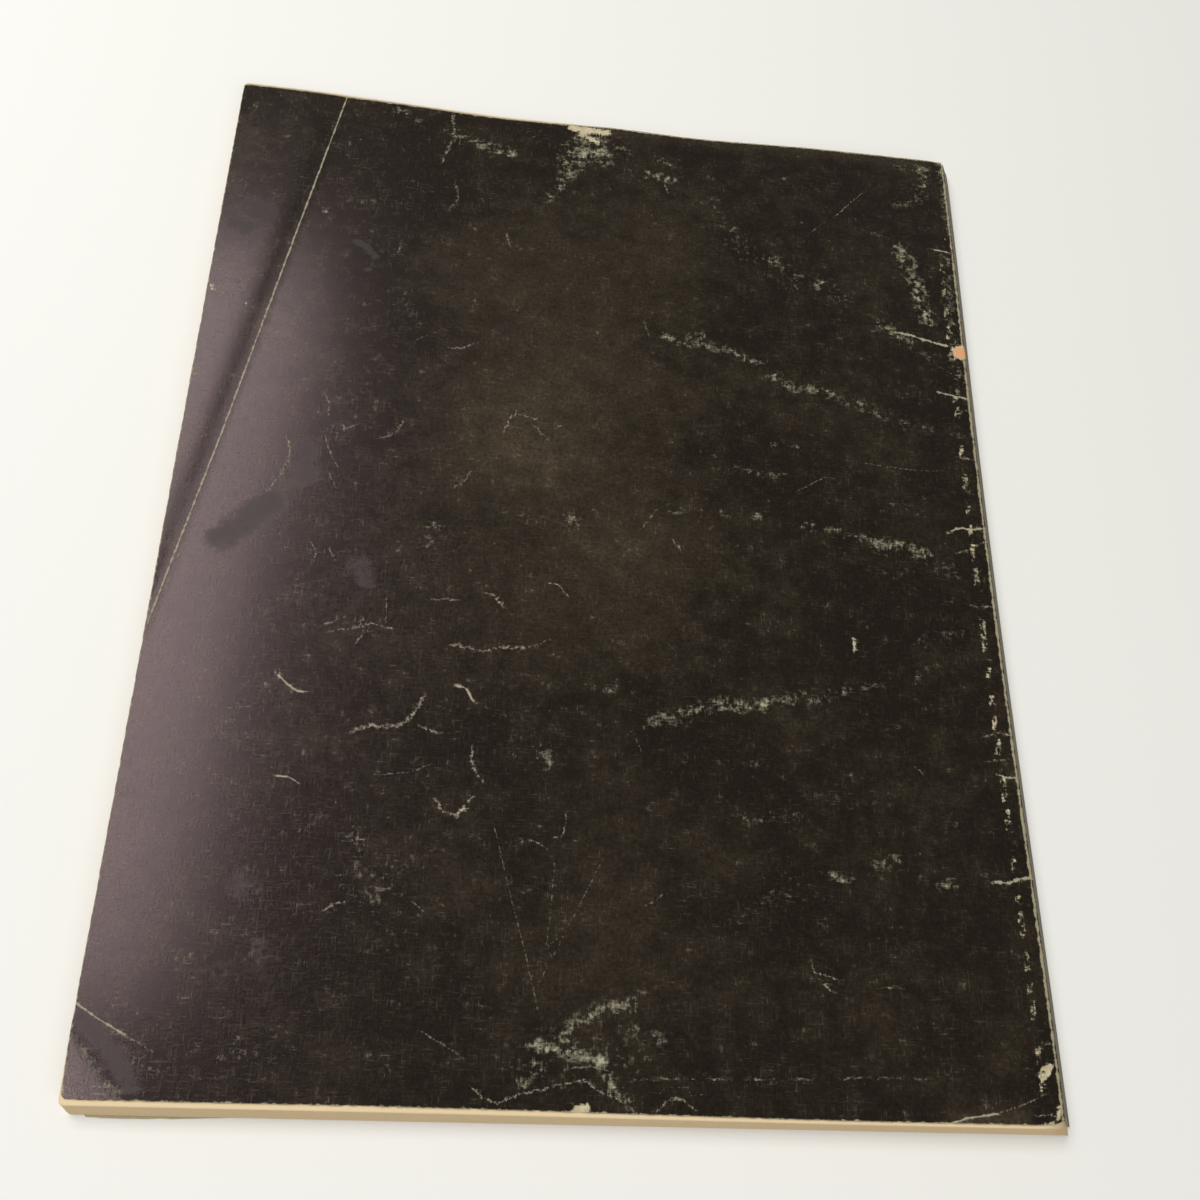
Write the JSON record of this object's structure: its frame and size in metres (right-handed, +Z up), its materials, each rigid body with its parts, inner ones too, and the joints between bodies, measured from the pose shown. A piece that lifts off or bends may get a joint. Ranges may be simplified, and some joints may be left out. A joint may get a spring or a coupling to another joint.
{
  "type": "paperback book",
  "caption": "Large-format paperback book with a plain dark card cover, worn and creased, and a block of toned pages; both covers open at scored hinges.",
  "frame": {"origin": "centre of the closed book's footprint, on the surface it lies on", "axes": "+Z up through the book from the front cover to the back cover, +X towards the spine, +Y towards the head"},
  "size_m": [0.2196, 0.2834, 0.006],
  "materials": {
    "cover_card": "printed dark brown card, satin varnish, scuffed to the pale board at creases and edges",
    "pages": "uncoated newsprint, toned tan at the edges",
    "glue": "aged binding glue"
  },
  "bodies": {
    "book_block": {"page_block": "pages", "spine_glue": "glue", "cover_wrap": "cover_card"},
    "back_cover": {"back_cover": "cover_card"},
    "front_cover": {"front_cover": "cover_card"}
  },
  "joints": [
    {"name": "back_cover_hinge", "type": "hinge", "parent": "book_block", "child": "back_cover", "pos_m": [0.0982, 0, 0.00605], "axis": [0, 1, 0], "range_deg": [0, 180]},
    {"name": "front_cover_hinge", "type": "hinge", "parent": "book_block", "child": "front_cover", "pos_m": [0.102, 0, -0.00005], "axis": [0, -1, 0], "range_deg": [0, 180]}
  ]
}
